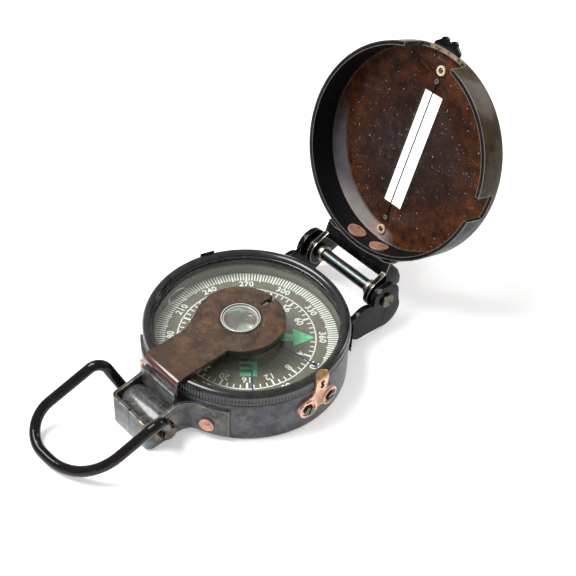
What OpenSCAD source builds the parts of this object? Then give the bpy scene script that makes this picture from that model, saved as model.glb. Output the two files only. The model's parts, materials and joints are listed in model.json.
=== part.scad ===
/* [Case] */
// Outside radius of the round case
case_r = 27.3; // [27:0.1:27.3]
// Inside radius of the liquid space
bowl_r = 25.3; // [25:0.1:25.4]
// Height of the seam between case and bezel
seam_z = 12.95; // [12.8:0.05:13]
// Thickness of the case floor
floor_t = 1.8; // [1.4:0.1:2]

/* [Bezel] */
// Outside radius of the rotating bezel
bezel_r = 27.5; // [27.4:0.1:27.5]
// Radius of the bezel's rounded top edge
dome_r = 1.35; // [1.25:0.05:1.35]
// Height of the bezel glass's upper face
glass_z = 15.5; // [15.4:0.05:15.5]

/* [Card] */
// Radius of the compass card
card_r = 24.75; // [24:0.05:24.8]
// Height of the card's printed face
card_z = 9.65; // [9:0.05:10]
// Direction of the card's north, clockwise from the sighting line
card_north = 41.2; // [0:0.1:359]

/* [Lid] */
// Angle that the lid stands open, from closed
lid_open = 110.35; // [0:0.05:178]
// Outside radius of the lid's wall
lid_r = 29.5; // [29.5:0.1:30]
// Thickness of the lid's wall
lid_wall = 1.2; // [1:0.05:1.2]
// Height of the closed lid's rim
lip_z = 11.7; // [11.7:0.05:12]
// Height of the closed lid's inner floor
lid_floor_z = 20.5; // [20.3:0.05:21]
// Width of the sighting slot
slot_w = 6.6; // [5:0.1:7]

/* [Lid hinge] */
// Distance of the hinge axis from the case's centre
hinge_y = 37.43; // [37:0.01:38]
// Height of the hinge axis
hinge_z = 11.07; // [11:0.01:11.5]
// Radius of the eyes of the bracket's arms
eye_r = 5; // [4.5:0.1:5]

/* [Eyepiece] */
// Height of the folded eyepiece's upper face
eye_z = 18.25; // [18:0.05:18.4]
// Radius of the eyepiece's round head
head_r = 11.9; // [11:0.1:12]
// Half the width of the eyepiece's arm
arm_w = 6.45; // [6:0.05:6.5]
// Place of the lens along the sighting line
lens_y = -2.3; // [-3:0.1:-2]
// Radius of the lens ring
lens_ring_r = 5.25; // [5:0.05:5.5]

/* [Eyepiece frame] */
// Distance of the eyepiece's pin behind the case's centre
pin_y = 33.85; // [33.8:0.01:34]
// Height of the eyepiece's pin
pin_z = 5.2; // [5.1:0.01:5.3]
// Half the outside width of the frame
frame_w = 7.5; // [7.4:0.05:7.6]
// Thickness of the frame's strip
frame_t = 0.9; // [0.8:0.05:0.9]

/* [Thumb ring] */
// Thickness of the ring's wire
wire_d = 2.9; // [2.6:0.05:3]
// Slope of the ring from its shoulders down to the table
ring_tilt = 36.5; // [35:0.1:37]

/* [Hidden] */
$fn = 96;
eps = 0.01;

// Fits
run = 0.05;                     // radial clearance of a running fit

// Colours
black_lacquer = [0.11, 0.12, 0.13];
brown_lacquer = [0.26, 0.14, 0.10];
copper = [0.80, 0.47, 0.34];
brass = [0.72, 0.58, 0.30];
bright = [0.82, 0.83, 0.84];
clear_glass = [0.75, 0.82, 0.80, 0.3];

// Case
case_edge = 0.8;                // rounding of the case's bottom edge
gasket_z = 11.9;                // ledge that carries the capsule gasket
gasket_t = 0.4;
capsule_t = 0.9;
spigot_r = 26.1;                // upstanding lip that the bezel turns on
spigot_z = 14.0;
lip_in = 25.7;                  // inside radius of that lip
plug_r = 2.2;
plug_x = -17;
plug_t = 1.2;

// Bezel
dome_z = 15.6;                  // height of the dome's centre
dome_c = bezel_r - dome_r;      // radius of the dome's centre line
bezel_bore = spigot_r + 0.08;
bezel_z = seam_z + 0.1;
window_r = 24.55;
glass_t = 0.9;
retainer_t = 0.4;

// Card and pivot
card_t = 0.5;
hub_r = 2.6;
cap_r = 3;                      // broad cap on top of the hub
cap_z = 11.9;
pivot_tip_z = 9.2;
jewel_r = 1.1;
magnet_l = 26;
magnet_w = 2.2;
magnet_gap = 5.5;               // half the distance between the two magnets' centre lines

// Bezel clips: [angle round the case, thickness, sideways lean at z = 20]
near_clip = [-0.2, 0.8, 1.3];
far_clip = [162, 0.5, 0];
clip_w = 4.0;                   // width of the strip
tip_r = 2.6;                    // the tip's rounding in plan
tip_x = 29.0;
clip_gap = 0.15;                // clearance to the turning bezel
lobe_r = 2.8;
lobe_x = 3.6;                   // screws' distance either side of the clip's middle
lobe_z = 7.8;
clip_hole_z = 14.6;
screw_r = 0.6;
screw_head_r = 1.5;
screw_head_t = 0.9;
ear_rim_in = 2.1;               // raised rim round each screw
ear_rim_h = 0.45;
screw_in = 26.0;                // radius that the screws reach inwards to

// Hinge bracket
bracket_t = 1.5;
arm_out = 15.4;                 // outer face of each arm
arm_in = 13.8;
arm_top = 11.3;
foot = [29, 7.2, 5.2];          // rounding where the arm leaves the case: place and radius
heel = [38.3, 5.8, 5];          // rounding of the arm's heel: place and radius
strip_top = 10.8;
strip_bottom = 1.0;
strip_half = 31;                // half the strip's reach round the case, in degrees
pin_r = 1.0;
tube_r = 1.78;
tube_half = 8.6;
ear_in = 10.5;
ear_out = 12.0;
ear_r = 4.2;
rivet_r = 1.0;

// Lid
lid_in = lid_r - lid_wall;
lid_top = lid_floor_z + 1.0;
lid_round = 2.2;
slot_y0 = -16.8;
slot_y1 = 17.5;
mouth_half = 8.0;               // half the width of the rim's opening for the eyepiece
clip_notch_a = 2.5;             // direction of the rim's notch for the near clip
mouth_z = 18.9;
fork_t = 1.5;
fork_half = 21;                 // half the fork's reach round the lid, in degrees
fork_z0 = 11.8;
fork_z1 = 18.2;
web_y = 33.1;                   // outer edge of the fork's web, between its ears
web_t = 1.2;
lid_rivet_a = 8.8;
lid_rivet_z = 15.45;
lid_rivet_r = 2.7;
wire_y0 = -20.3;
wire_y1 = 21.4;
dot_y0 = -23.4;
dot_y1 = 25.3;

// Eyepiece
sheet_t = 0.95;
flange_z = 15.95;
lens_rim = 0.85;                // width of the lens ring: a raised rim, and a step inside it
lens_rim_top = 0.42;            // width of that raised rim
notch_w = 1.3;
notch_depth = 4.4;
fold_y = -29.4;                 // outer face of the plate's folded end
fold_round = 1.4;               // outer radius of that fold
leaf_t = 0.85;
leaf_top = 14.4;
barrel_r = 4.4;
barrel_in = barrel_r - leaf_t;
leaf_half = 6.3;
eye_pin_r = 1.3;

// Frame
frame_y = -39.6;                // outer face of the end wall
corner_r = 1.8;
flare_r = 6;                    // centre-line radius of the flare to the case
frame_end = -50.4;              // angle at which the strip ends on the case
frame_mid = case_r + frame_t / 2;
side_x = frame_w - frame_t / 2;
flare_x = side_x + flare_r;
flare_y = -sqrt(pow(frame_mid + flare_r, 2) - pow(flare_x, 2));
flare_a = atan2(flare_y, flare_x);
frame_rivet_a = -62.3;
frame_rivet_z = 5.2;
frame_rivet_r = 1.95;

// Thumb ring: corners in the ring's own plane, and the bends' radii
wire_r = wire_d / 2;
ring_eye_x = 8.4;
ring_eye_r = 2.5;
ring_eye_t = 1.3;
shoulder_y = -38.9;
ring_foot = 26.1;               // run of the ring from its shoulders to its foot
shoulder_z = wire_r + 0.03 + ring_foot * sin(ring_tilt);
ring_plan = [[-12.6, 0.8], [-20, -26.2], [6.2, -26.1], [12.8, 0]];
ring_bends = [3, 8, 17, 3];
wire_sides = 32;                // flats round the wire
bend_steps = 14;                // rings in each bend

// Turns its children from the closed lid's place to the open one
module lid_pose() {
    translate([0, hinge_y, hinge_z]) rotate([-lid_open, 0, 0]) translate([0, -hinge_y, -hinge_z]) children();
}

module card_pose() { rotate([0, 0, -card_north]) children(); }

// A cylinder lying along X between two places
module bar_x(x0, x1, r, y = 0, z = 0) {
    translate([x0, y, z]) rotate([0, 90, 0]) cylinder(h = x1 - x0, r = r);
}

module ring_solid(r_out, r_in, z0, z1) {
    difference() {
        translate([0, 0, z0]) cylinder(h = z1 - z0, r = r_out);
        translate([0, 0, z0 - 1]) cylinder(h = z1 - z0 + 2, r = r_in);
    }
}

// A cylinder pointing outwards from the case's axis
module spoke(angle, z, r0, r1, r) {
    rotate([0, 0, angle]) translate([r0, 0, z]) rotate([0, 90, 0]) cylinder(h = r1 - r0, r = r);
}

// Straight slot across a screw head that points outwards
module spoke_slot(angle, z, r1, depth, width, turn) {
    rotate([0, 0, angle]) translate([r1, 0, z]) rotate([turn, 0, 0])
        translate([-depth, -width / 2, -5]) cube([2 * depth, width, 10]);
}

module case_cup() {
    color(black_lacquer) difference() {
        rotate_extrude() polygon([
            [0, 0],
            [case_r - case_edge, 0],
            [case_r - case_edge * 0.3, case_edge * 0.3],
            [case_r, case_edge],
            [case_r, seam_z],
            [spigot_r, seam_z],
            [spigot_r, spigot_z],
            [lip_in, spigot_z],
            [lip_in, gasket_z],
            [bowl_r, gasket_z],
            [bowl_r, floor_t],
            [0, floor_t]
        ]);
        translate([plug_x, 0, -1]) cylinder(h = floor_t + 2, r = plug_r + 0.02);
        clip_holes(near_clip);
        clip_holes(far_clip);
        for (side = [-1, 1]) {
            spoke(-90 + side * (90 + frame_rivet_a), frame_rivet_z, 26.2, case_r + 1, rivet_r);
            spoke(90 + side * 14, 5.6, 26.2, case_r + 1, rivet_r);
        }
    }
}

module clip_holes(clip) {
    for (side = [-1, 1]) spoke(clip[0] + side * asin(lobe_x / case_r), lobe_z, screw_in, case_r + 2, screw_r);
}

module filler_plug() {
    color(brass) translate([plug_x, 0, 0]) difference() {
        translate([0, 0, 0.1]) cylinder(h = plug_t - 0.1, r = plug_r);
        translate([-3, -0.3, -1]) cube([6, 0.6, 1.6]);
    }
}

module filler_seal() {
    color("black") translate([plug_x, 0, plug_t]) cylinder(h = floor_t - plug_t, r = plug_r);
}

module pivot_post() {
    color(brass) translate([0, 0, floor_t]) {
        cylinder(h = 1, r = 2.6);
        translate([0, 0, 1]) cylinder(h = pivot_tip_z - 2.4 - floor_t, r = 0.7);
        translate([0, 0, pivot_tip_z - 1.4 - floor_t]) cylinder(h = 1.4, r1 = 0.7, r2 = 0.08);
    }
}

module capsule_gasket() {
    color("black") ring_solid(lip_in - 0.02, bowl_r, gasket_z, gasket_z + gasket_t);
}

module capsule_glass() {
    color(clear_glass) translate([0, 0, gasket_z + gasket_t]) cylinder(h = capsule_t, r = lip_in - 0.02);
}

module bezel_ring() {
    color(black_lacquer) rotate_extrude() difference() {
        union() {
            translate([bezel_bore, bezel_z]) square([bezel_r - bezel_bore, dome_z - bezel_z]);
            translate([window_r + 0.2, glass_z]) square([bezel_r - window_r - 0.2, dome_z - glass_z]);
            translate([dome_c, dome_z]) circle(r = dome_r, $fn = 64);
            translate([window_r, glass_z]) square([1, 0.35]);
        }
        translate([0, dome_z - 3]) square([bezel_bore, 3 + glass_z - dome_z]);
    }
}

module bezel_glass() {
    color(clear_glass) translate([0, 0, glass_z - glass_t]) cylinder(h = glass_t, r = bezel_bore - 0.03);
}

module glass_retainer() {
    color("dimgray") ring_solid(bezel_bore - 0.02, 24.9, glass_z - glass_t - retainer_t, glass_z - glass_t);
}

module compass_card() {
    color([0.30, 0.31, 0.25]) card_pose() ring_solid(card_r, hub_r, card_z - card_t, card_z);
}

module card_hub() {
    color([0.85, 0.84, 0.66]) card_pose() difference() {
        union() {
            translate([0, 0, card_z - 1.4]) cylinder(h = cap_z - card_z + 1, r = hub_r);
            translate([0, 0, card_z + 0.6]) cylinder(h = cap_z - card_z - 0.6, r = cap_r);
            translate([0, 0, card_z - 1.4]) cylinder(h = 0.9, r = hub_r + 1.2);
        }
        translate([0, 0, card_z - 2]) cylinder(h = 2.2, r = jewel_r);
    }
}

module pivot_jewel() {
    color("crimson") card_pose() difference() {
        translate([0, 0, card_z - 1.4]) cylinder(h = 1.6, r = jewel_r);
        translate([0, 0, card_z - 1.9]) cylinder(h = 1.5, r1 = 1.3, r2 = 0.14);
    }
}

module card_magnets() {
    color("silver") card_pose() for (side = [-1, 1])
        translate([side * magnet_gap - magnet_w / 2, -magnet_l / 2, card_z - card_t - 1.6])
            cube([magnet_w, magnet_l, 1.6]);
}

// A strip that climbs the case's side and bends over the bezel's rounded edge
module clip(spec) {
    rotate([0, 0, spec[0]]) difference() {
        union() {
            intersection() {
                rotate([0, 0, -20]) rotate_extrude(angle = 40) clip_profile(spec[1]);
                rotate([0, 90, 0]) linear_extrude(height = 40) clip_front(spec[2]);
                union() {
                    translate([0, -20, 0]) cube([45, 40, 15]);
                    translate([0, 0, 15 - eps]) linear_extrude(height = 10) clip_tip(0.65 * spec[2]);
                }
            }
            for (side = [-1, 1]) difference() {
                spoke(side * asin(lobe_x / case_r), lobe_z, case_r + 0.25, case_r + spec[1] + ear_rim_h, lobe_r - 0.1);
                spoke(side * asin(lobe_x / case_r), lobe_z, case_r, case_r + 5, ear_rim_in);
            }
        }
        for (side = [-1, 1]) spoke(side * asin(lobe_x / case_r), lobe_z, 25, 31, screw_r);
        for (dz = [-0.7, 0.7]) spoke(asin(0.37 * spec[2] / case_r), clip_hole_z + dz, 25, 31, 0.72);
    }
}

// Section of the strip: up the case, a small step out past the bezel, and a hook over its dome
module clip_profile(t) {
    face = bezel_r + clip_gap;
    bend = face - dome_c;
    polygon(concat(
        [[case_r, 3], [case_r + t, 3], [case_r + t, seam_z - 0.6], [face + t, seam_z - 0.6]],
        [for (a = [0:10:110]) [dome_c, dome_z] + (bend + t) * [cos(a), sin(a)]],
        [for (a = [110:-10:0]) [dome_c, dome_z] + bend * [cos(a), sin(a)]],
        [[face, seam_z], [case_r, seam_z]]
    ));
}

// Front view of the strip and its two lobes, with X down and Y along the case
module clip_front(lean) {
    polygon(concat(
        [[-20, lean - clip_w / 2], [-20, lean + clip_w / 2], [-lobe_z - 3.7, clip_w / 2]],
        [for (a = [150:-15:-60]) [-lobe_z, lobe_x] + lobe_r * [cos(a), sin(a)]],
        [for (a = [60:-15:-150]) [-lobe_z, -lobe_x] + lobe_r * [cos(a), sin(a)]],
        [[-lobe_z - 3.7, -clip_w / 2]]
    ));
}

// Plan of the strip's rounded tip
module clip_tip(y) {
    polygon(concat(
        [[45, y - tip_r], [45, y + tip_r]],
        [for (a = [90:10:270]) [tip_x, y] + tip_r * [cos(a), sin(a)]]
    ));
}

module bezel_clip_near() { color(copper) clip(near_clip); }

module bezel_clip_far() { color(black_lacquer) clip(far_clip); }

module clip_screws() {
    color("black") for (spec = [near_clip, far_clip], side = [-1, 1]) {
        a = spec[0] + side * asin(lobe_x / case_r);
        face = case_r + spec[1] + 0.15;
        difference() {
            union() {
                spoke(a, lobe_z, screw_in, face + 0.1, screw_r - 0.02);
                spoke(a, lobe_z, face, face + screw_head_t, screw_head_r);
            }
            spoke_slot(a, lobe_z, face + screw_head_t, 0.6, 0.5, 30 + 50 * side);
        }
    }
}

// Side view of one arm: foot on the case, round heel, eye at the top
module arm_profile() {
    difference() {
        union() {
            polygon([
                [20, arm_top],
                [20, 9],
                [24.2, 7],
                [foot[0], foot[1] - foot[2] + 0.1],
                [heel[0], heel[1] - heel[2] + 0.1],
                [heel[0] + heel[2] - 0.15, heel[1]],
                [hinge_y + eye_r - 0.1, hinge_z],
                [hinge_y, hinge_z],
                [31.5, arm_top]
            ]);
            for (round_part = [foot, heel, [hinge_y, hinge_z, eye_r]])
                translate([round_part[0], round_part[1]]) circle(r = round_part[2]);
        }
        translate([hinge_y, hinge_z]) circle(r = pin_r + run);
    }
}

module hinge_bracket() {
    color(black_lacquer) {
        difference() {
            ring_solid(case_r + bracket_t, case_r, strip_bottom, strip_top);
            translate([-50, -100 + case_r * cos(strip_half), -1]) cube([100, 100, 20]);
            for (side = [-1, 1]) spoke(90 + side * 14, 5.6, 25, 31, rivet_r);
        }
        for (side = [-1, 1]) intersection() {
            translate([side > 0 ? arm_in : -arm_out, 0, 0]) rotate([90, 0, 90])
                linear_extrude(height = arm_out - arm_in) arm_profile();
            difference() {
                translate([-50, 0, -1]) cube([100, 60, 30]);
                translate([0, 0, -1]) cylinder(h = 30, r = case_r);
            }
        }
    }
}

module bracket_rivets() {
    color(copper) for (side = [-1, 1]) {
        spoke(90 + side * 14, 5.6, 26.3, case_r + bracket_t, rivet_r - 0.01);
        spoke(90 + side * 14, 5.6, case_r + bracket_t + 0.1, case_r + bracket_t + 0.6, 1.9);
        spoke(90 + side * 14, 5.6, case_r + bracket_t - eps, case_r + bracket_t + 0.2, rivet_r - 0.01);
    }
}

module hinge_screw() {
    color(brass) difference() {
        union() {
            bar_x(-arm_out - 0.3, arm_out, pin_r, hinge_y, hinge_z);
            bar_x(arm_out, arm_out + 0.9, 2.1, hinge_y, hinge_z);
            bar_x(-arm_out - 0.6, -arm_out, 1.7, hinge_y, hinge_z);
        }
        translate([arm_out + 0.4, hinge_y, hinge_z]) rotate([35, 0, 0]) translate([0, -0.35, -5]) cube([2, 0.7, 10]);
    }
}

module hinge_tube() {
    color([0.16, 0.20, 0.23]) difference() {
        bar_x(-tube_half, tube_half, tube_r, hinge_y, hinge_z);
        bar_x(-tube_half - 1, tube_half + 1, pin_r + 0.02, hinge_y, hinge_z);
    }
}

// A pair of washers, one each side, from x0 to x1
module washer_pair(x0, x1, r) {
    for (side = [-1, 1]) difference() {
        bar_x(side > 0 ? x0 : -x1, side > 0 ? x1 : -x0, r, hinge_y, hinge_z);
        bar_x(-20, 20, pin_r + 0.02, hinge_y, hinge_z);
    }
}

module hinge_washers() { color(bright) washer_pair(tube_half + 0.02, ear_in - 0.1, 2.4); }

module hinge_spacers() { color("black") washer_pair(ear_out + 0.1, arm_in - 0.02, 3.3); }

module lid_cup() {
    color(brown_lacquer) lid_pose() difference() {
        rotate_extrude() difference() {
            union() {
                translate([0, lip_z]) square([lid_r, lid_top - lip_z - lid_round]);
                translate([0, lip_z]) square([lid_r - lid_round, lid_top - lip_z]);
                translate([lid_r - lid_round, lid_top - lid_round]) circle(r = lid_round);
            }
            translate([-40, -1]) square([40 - 0, 60]);
            translate([0, lip_z - 1]) square([lid_in, lid_floor_z - lip_z + 1 - 0.5]);
            translate([0, lid_floor_z - 1]) square([lid_in - 0.5, 1]);
            translate([lid_in - 0.5, lid_floor_z - 0.5]) circle(r = 0.5, $fn = 32);
        }
        translate([-slot_w / 2, slot_y0, lid_floor_z - 1]) cube([slot_w, slot_y1 - slot_y0, 4]);
        translate([0, -20, 0]) rotate([90, 0, 0]) linear_extrude(height = 20) polygon([
            [-mouth_half, lip_z - 1],
            [mouth_half, lip_z - 1],
            [mouth_half, mouth_z - 2.5],
            [mouth_half - 0.9, mouth_z],
            [0.9 - mouth_half, mouth_z],
            [-mouth_half, mouth_z - 2.5]
        ]);
        rotate([0, 0, clip_notch_a]) translate([20, -3.6, lip_z - 1]) cube([20, 7.2, mouth_z - lip_z + 0.6]);
        for (side = [-1, 1]) spoke(90 + side * lid_rivet_a, lid_rivet_z, 25, 35, rivet_r);
        for (y = [wire_y0, wire_y1]) translate([0, y, lid_floor_z - 1]) cylinder(h = 3, r = 0.3);
        for (y = [dot_y0, dot_y1]) translate([0, y, lid_floor_z - 1]) cylinder(h = 3, r = 1.0);
    }
}

// The fork's ears run out from the lid's wall and drop to the hinge axis
module fork_profile() {
    difference() {
        union() {
            translate([hinge_y, hinge_z]) circle(r = ear_r);
            polygon([
                [29, fork_z0],
                [31.5, fork_z0],
                [hinge_y - 3.6, hinge_z - 2.1],
                [hinge_y + 2.9, hinge_z + 3],
                [hinge_y - 0.9, hinge_z + 7.8],
                [hinge_y - 2, hinge_z + 8.8],
                [33.2, 19],
                [30.6, 16.6],
                [28.8, 13.6]
            ]);
        }
        translate([hinge_y, hinge_z]) circle(r = pin_r + run);
    }
}

module lid_fork() {
    color(black_lacquer) lid_pose() {
        difference() {
            ring_solid(lid_r + fork_t, lid_r, fork_z0, fork_z1);
            translate([-50, -100 + (lid_r + fork_t) * cos(fork_half + 1.3), -1]) cube([100, 100, 30]);
            for (side = [-1, 1]) spoke(90 + side * lid_rivet_a, lid_rivet_z, 25, 35, rivet_r);
            for (side = [-1, 1]) translate([side > 0 ? ear_out : -ear_out - 20, 0, 0]) cube([20, 60, 30]);
        }
        difference() {
            translate([-ear_out + eps, 20, fork_z0]) cube([2 * (ear_out - eps), web_y - 20, web_t]);
            cylinder(h = 60, r = lid_r + fork_t / 2);
        }
        for (side = [-1, 1]) difference() {
            translate([side > 0 ? ear_in : -ear_out, 0, 0]) rotate([90, 0, 90])
                linear_extrude(height = ear_out - ear_in) fork_profile();
            cylinder(h = 60, r = lid_r + eps);
        }
    }
}

module lid_rivets() {
    color(copper) lid_pose() for (side = [-1, 1]) {
        a = 90 + side * lid_rivet_a;
        spoke(a, lid_rivet_z, lid_in - 0.1, lid_r + fork_t, rivet_r - 0.01);
        intersection() {
            spoke(a, lid_rivet_z, lid_in - 1.2, lid_in + 1, lid_rivet_r);
            ring_solid(lid_in, lid_in - 0.45, 11, 20);
        }
        spoke(a, lid_rivet_z, lid_r + fork_t, lid_r + fork_t + 0.5, 1.8);
    }
}

// Finger tab on the lid's wall, opposite the hinge: two bumps with a notch between
module lid_tab() {
    color(black_lacquer) lid_pose() difference() {
        translate([0, 0, 18.9]) linear_extrude(height = 1.2) difference() {
            union() {
                polygon([[-4.6, -28], [-4.2, -30.2], [-2.4, -31.6], [2.4, -31.6], [4.2, -30.2], [4.6, -28]]);
                for (side = [-1, 1]) translate([side * 1.55, -31.3]) circle(r = 1.1, $fn = 32);
            }
            polygon([[-1, -33], [0, -31.1], [1, -33]]);
        }
        cylinder(h = 60, r = lid_r);
    }
}

module sight_wire() {
    color("black") lid_pose() translate([0, wire_y0 + 0.5, lid_floor_z - 0.35]) rotate([-90, 0, 0])
        cylinder(h = wire_y1 - wire_y0 - 1, r = 0.19, $fn = 24);
}

module wire_eyelets() {
    color(bright) lid_pose() for (y = [wire_y0, wire_y1]) translate([0, y, 0]) {
        difference() {
            translate([0, 0, lid_floor_z - 0.6]) cylinder(h = 0.6, r = 0.7, $fn = 32);
            translate([0, y < 0 ? 0.6 : -0.6, lid_floor_z - 0.35]) cube([0.4, 0.6, 0.4], center = true);
            translate([0, 0, lid_floor_z - 0.7]) cylinder(h = 0.35, r = 0.36, $fn = 32);
        }
        translate([0, 0, lid_floor_z - eps]) cylinder(h = 1 + eps, r = 0.29, $fn = 32);
    }
}

module dot_cups() {
    color(brass) lid_pose() for (y = [dot_y0, dot_y1]) translate([0, y, 0]) difference() {
        union() {
            translate([0, 0, lid_floor_z - 0.5]) cylinder(h = 0.5, r = 1.4);
            translate([0, 0, lid_floor_z - eps]) cylinder(h = 1 + eps, r = 0.98);
        }
        translate([0, 0, lid_floor_z - 1]) cylinder(h = 1.6, r = 0.78);
    }
}

module dot_beads() {
    color("black") lid_pose() for (y = [dot_y0, dot_y1])
        translate([0, y, lid_floor_z - 0.35]) cylinder(h = 0.9, r = 0.76);
}

// Centre line of the frame's strip, drawn as a band of the strip's thickness
module frame_band(side) {
    in_x = frame_w - frame_t;
    c = frame_w - corner_r;
    mirror([side > 0 ? 0 : 1, 0]) {
        translate([-eps, frame_y]) square([c + 2 * eps, frame_t]);
        intersection() {
            translate([c, frame_y + corner_r]) difference() {
                circle(r = corner_r, $fn = 48);
                circle(r = corner_r - frame_t, $fn = 48);
            }
            translate([c, frame_y]) square([corner_r, corner_r + eps]);
        }
        translate([in_x, frame_y + corner_r]) square([frame_t, flare_y - frame_y - corner_r + eps]);
        intersection() {
            translate([flare_x, flare_y]) difference() {
                circle(r = flare_r + frame_t / 2);
                circle(r = flare_r - frame_t / 2);
            }
            polygon([
                [0, flare_y],
                [flare_x, flare_y],
                [frame_mid * cos(flare_a), frame_mid * sin(flare_a)],
                [0, 0]
            ]);
        }
        intersection() {
            difference() {
                circle(r = case_r + frame_t, $fn = 192);
                circle(r = case_r, $fn = 192);
            }
            polygon([[0, 0], 40 * [cos(flare_a - 0.05), sin(flare_a - 0.05)], 40 * [cos(frame_end), sin(frame_end)]]);
        }
    }
}

// Side view of the frame: low round the barrel, higher on the case
module frame_side() {
    polygon([
        [-41, 0.7],
        [-32, 0.7],
        [-29.2, 1.3],
        [-27, 1.9],
        [-15, 1.9],
        [-15, 11.3],
        [-28, 11.3],
        [-31, 11.0],
        [-36, 10.2],
        [-41, 10.0]
    ]);
}

module eyepiece_frame() {
    color(black_lacquer) difference() {
        intersection() {
            linear_extrude(height = 20) {
                frame_band(1);
                frame_band(-1);
            }
            translate([-30, 0, 0]) rotate([90, 0, 90]) linear_extrude(height = 60) frame_side();
        }
        bar_x(-20, 20, eye_pin_r, -pin_y, pin_z);
        for (side = [-1, 1]) spoke(-90 + side * (90 + frame_rivet_a), frame_rivet_z, 25, 31, rivet_r);
    }
}

module frame_rivets() {
    color(copper) for (side = [-1, 1]) {
        a = -90 + side * (90 + frame_rivet_a);
        spoke(a, frame_rivet_z, 26.3, case_r + frame_t + 0.3, rivet_r - 0.01);
        spoke(a, frame_rivet_z, case_r + frame_t + 0.1, case_r + frame_t + 0.6, frame_rivet_r);
    }
}

module eyepiece_pin() {
    color("dimgray") {
        bar_x(-9.5, 9.5, eye_pin_r, -pin_y, pin_z);
        for (x = [-9.7, 9.2]) bar_x(x, x + 0.5, 1.9, -pin_y, pin_z);
    }
}

// Sheet rolled into a barrel round the bush, with its upright leaf towards the case
module eyepiece_leaf() {
    color([0.35, 0.37, 0.40]) translate([-leaf_half, 0, 0]) rotate([90, 0, 90]) linear_extrude(height = 2 * leaf_half) {
        difference() {
            translate([-pin_y, pin_z]) circle(r = barrel_r);
            translate([-pin_y, pin_z]) circle(r = barrel_in);
        }
        translate([-pin_y + barrel_in, pin_z]) square([leaf_t, leaf_top - pin_z]);
    }
}

module eyepiece_bush() {
    color(brass) difference() {
        bar_x(-leaf_half - 0.1, leaf_half + 0.1, barrel_in, -pin_y, pin_z);
        bar_x(-20, 20, eye_pin_r + run, -pin_y, pin_z);
    }
}

module plate_outline() {
    translate([-arm_w, fold_y]) square([2 * arm_w, lens_y - fold_y]);
    polygon([[0, lens_y], [-0.88 * head_r, lens_y - 0.4 * head_r], [-arm_w, -15.6], [0, -15.6]]);
}

// The round head is a shallow drawn cup; its rim is cut away where the arm joins
module eyepiece_plate() {
    color(brown_lacquer) difference() {
        union() {
            translate([0, 0, eye_z - sheet_t]) linear_extrude(height = sheet_t) plate_outline();
            translate([-arm_w, fold_y, leaf_top - 1.6]) cube([2 * arm_w, sheet_t, eye_z - leaf_top + 1.6]);
            difference() {
                translate([0, lens_y, flange_z]) cylinder(h = eye_z - flange_z, r = head_r);
                translate([0, lens_y, flange_z - 1]) cylinder(h = eye_z - sheet_t - flange_z + 1, r = head_r - 0.9);
                translate([-arm_w, lens_y - 20, flange_z - 1])
                    cube([2 * arm_w - 0.3, 20, eye_z - sheet_t - flange_z + 1]);
            }
        }
        translate([0, lens_y, 0]) cylinder(h = 30, r = lens_ring_r - 0.3);
        translate([-notch_w / 2, lens_y + head_r - notch_depth, 0]) cube([notch_w, 20, 30]);
        difference() {
            translate([-20, fold_y - 1, eye_z - fold_round]) cube([40, fold_round + 1, fold_round + 1]);
            bar_x(-21, 21, fold_round, fold_y + fold_round, eye_z - fold_round);
        }
    }
}

module lens_ring() {
    color(bright) translate([0, lens_y, 0]) {
        ring_solid(lens_ring_r - 0.32, lens_ring_r - lens_rim, 16.6, eye_z + 0.01);
        ring_solid(lens_ring_r, lens_ring_r - lens_rim_top, eye_z, eye_z + 0.35);
    }
}

module eyepiece_lens() {
    lens_edge = lens_ring_r - lens_rim - 0.02;
    dome = 14;
    color(clear_glass) translate([0, lens_y, 0]) intersection() {
        translate([0, 0, 16.8]) cylinder(h = 3, r = lens_edge);
        translate([0, 0, eye_z + 0.3 - dome]) sphere(r = dome, $fn = 128);
    }
}

function unit(v) = v / norm(v);
function trim(p, i, r) =
    let (a = unit(p[i] - p[i - 1]), b = unit(p[i + 1] - p[i])) r * tan(acos(a * b) / 2);

// Round wire through the corner points p, bent to the given radii
function bend_points(p, i, radius) =
    let (
        d1 = unit(p[i] - p[i - 1]),
        d2 = unit(p[i + 1] - p[i]),
        inward = unit(d2 - d1 * (d1 * d2)),
        start = p[i] - d1 * trim(p, i, radius),
        sweep = acos(d1 * d2)
    )
    [for (k = [0:bend_steps]) let (a = sweep * k / bend_steps)
        start + radius * (d1 * sin(a) + inward * (1 - cos(a)))];

module wire(p, bends, r) {
    last = len(p) - 1;
    path = concat([p[0]], [for (i = [1:last - 1]) each bend_points(p, i, bends[i - 1])], [p[last]]);
    n = len(path);
    t = [for (i = [0:n - 1]) unit(path[min(i + 1, n - 1)] - path[max(i - 1, 0)])];
    u = [for (i = 0, v = unit(cross(t[0], [1, 0, 0])); i < n;
        i = i + 1, v = i < n ? unit(v - t[i] * (v * t[i])) : v) v];
    points = [for (i = [0:n - 1], k = [0:wire_sides - 1]) let (a = 360 * k / wire_sides)
        path[i] + r * (u[i] * cos(a) + cross(t[i], u[i]) * sin(a))];
    sides = [for (i = [0:n - 2], k = [0:wire_sides - 1]) let (m = (k + 1) % wire_sides)
        [i * wire_sides + m, i * wire_sides + k, (i + 1) * wire_sides + k, (i + 1) * wire_sides + m]];
    polyhedron(points, concat(
        [[for (k = [0:wire_sides - 1]) k]],
        sides,
        [[for (k = [wire_sides - 1:-1:0]) (n - 1) * wire_sides + k]]
    ));
}

function ring_point(q) =
    [q[0], shoulder_y + q[1] * cos(ring_tilt), shoulder_z + q[1] * sin(ring_tilt)];

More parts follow.
